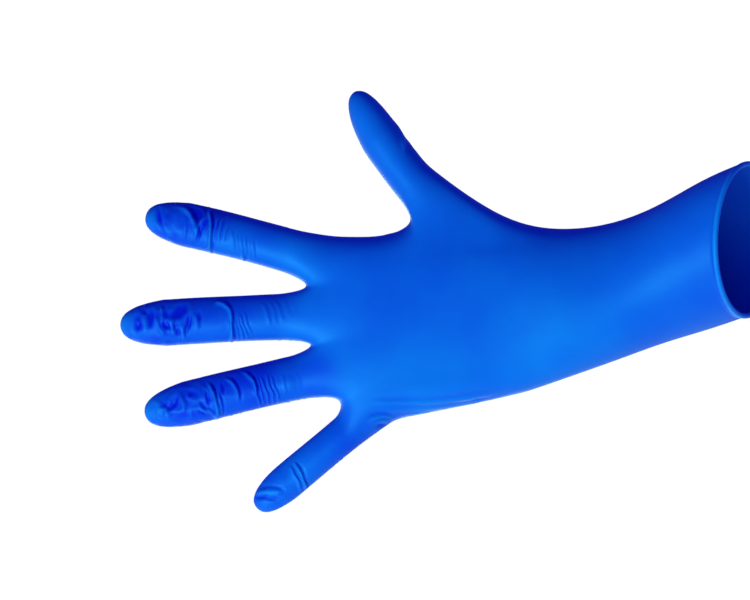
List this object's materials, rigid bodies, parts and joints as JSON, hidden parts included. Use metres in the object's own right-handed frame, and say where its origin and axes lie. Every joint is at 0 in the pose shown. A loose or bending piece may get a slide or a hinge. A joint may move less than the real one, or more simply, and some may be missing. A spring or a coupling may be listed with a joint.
{
  "type": "nitrile exam glove",
  "caption": "Disposable nitrile exam glove, kept in the form it has on a spread left hand: a seamless hollow film with fingers and thumb, open at a cuff with a rolled bead.",
  "frame": {"origin": "centre of the cuff's opening, where the wearer's forearm goes in", "axes": "-X towards the fingers, +Z towards the thumb's side, -Y towards the back of the hand and +Y towards the palm"},
  "size_m": [0.2692, 0.0655, 0.1718],
  "materials": {
    "nitrile": "satin"
  },
  "bodies": {
    "root": {"glove": "nitrile"}
  },
  "joints": []
}
